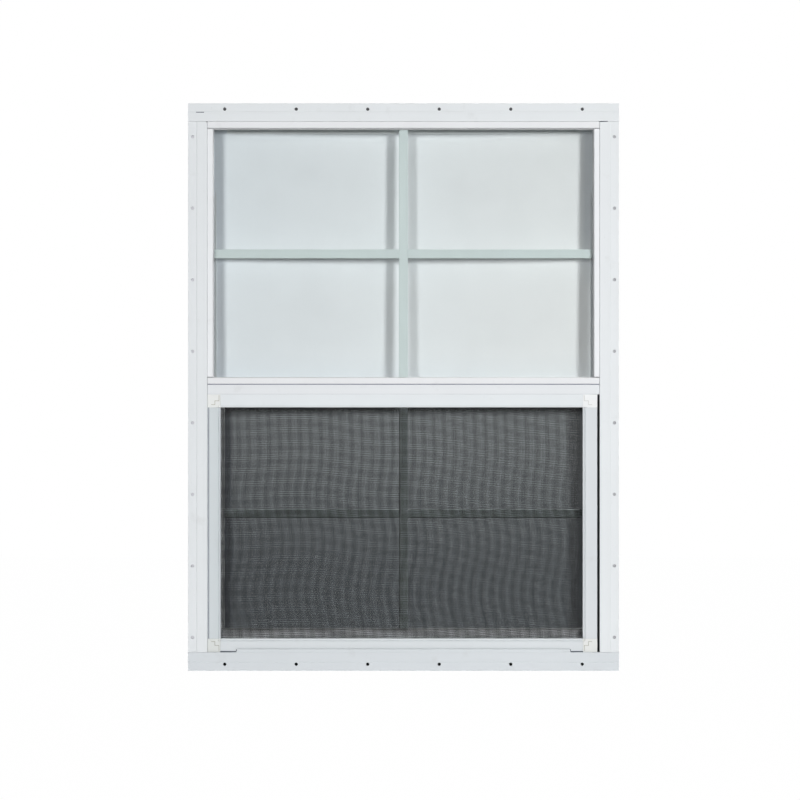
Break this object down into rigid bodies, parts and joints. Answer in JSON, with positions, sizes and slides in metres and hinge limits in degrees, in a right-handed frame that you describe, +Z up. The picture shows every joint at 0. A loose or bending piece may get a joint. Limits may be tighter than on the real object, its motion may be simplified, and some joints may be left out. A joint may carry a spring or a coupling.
{
  "type": "single-hung flange window",
  "caption": "White aluminium single-hung window with a drilled nail flange, divided fixed upper light, divided sliding lower sash and a lift-out insect half screen.",
  "frame": {"origin": "back face of the sill's nail fin, at mid width, on its line of nail holes", "axes": "+Z up, +Y indoors and square to the wall, +X right as seen from outdoors"},
  "size_m": [0.482, 0.0393, 0.635],
  "materials": {
    "frame_paint": "satin white paint",
    "bead_paint": "satin white paint",
    "sash_paint": "satin white paint",
    "screen_paint": "satin white paint",
    "bar_paint": "satin white paint",
    "clear_glass": "clear, faint green edge",
    "glazing_foam": "matte",
    "glazing_vinyl": "matte",
    "pile": "woven pile",
    "insect_mesh": "coated glass yarn, open weave",
    "spline_rubber": "ribbed, matte",
    "key_plastic": "moulded, fine texture",
    "latch_plastic": "moulded, fine texture"
  },
  "bodies": {
    "root": {"head": "frame_paint", "sill": "frame_paint", "left_jamb": "frame_paint", "right_jamb": "frame_paint", "meeting_rail": "frame_paint", "head_bead": "bead_paint", "left_bead": "bead_paint", "right_bead": "bead_paint", "meeting_bead": "bead_paint", "sash_top_rail": "sash_paint", "sash_bottom_rail": "sash_paint", "sash_left_stile": "sash_paint", "sash_right_stile": "sash_paint", "screen_top_rail": "screen_paint", "screen_bottom_rail": "screen_paint", "screen_left_stile": "screen_paint", "screen_right_stile": "screen_paint", "upper_vertical_bar": "bar_paint", "upper_horizontal_bar": "bar_paint", "sash_vertical_bar": "bar_paint", "sash_horizontal_bar": "bar_paint", "upper_glass": "clear_glass", "sash_glass": "clear_glass", "upper_glazing_tape": "glazing_foam", "sash_gasket": "glazing_vinyl", "sash_bottom_seal": "glazing_vinyl", "left_pile_strip": "pile", "right_pile_strip": "pile", "screen_mesh": "insect_mesh", "screen_spline": "spline_rubber", "screen_key_top_left": "key_plastic", "screen_key_top_right": "key_plastic", "screen_key_bottom_left": "key_plastic", "screen_key_bottom_right": "key_plastic", "sash_left_latch": "latch_plastic", "sash_right_latch": "latch_plastic"}
  },
  "joints": []
}
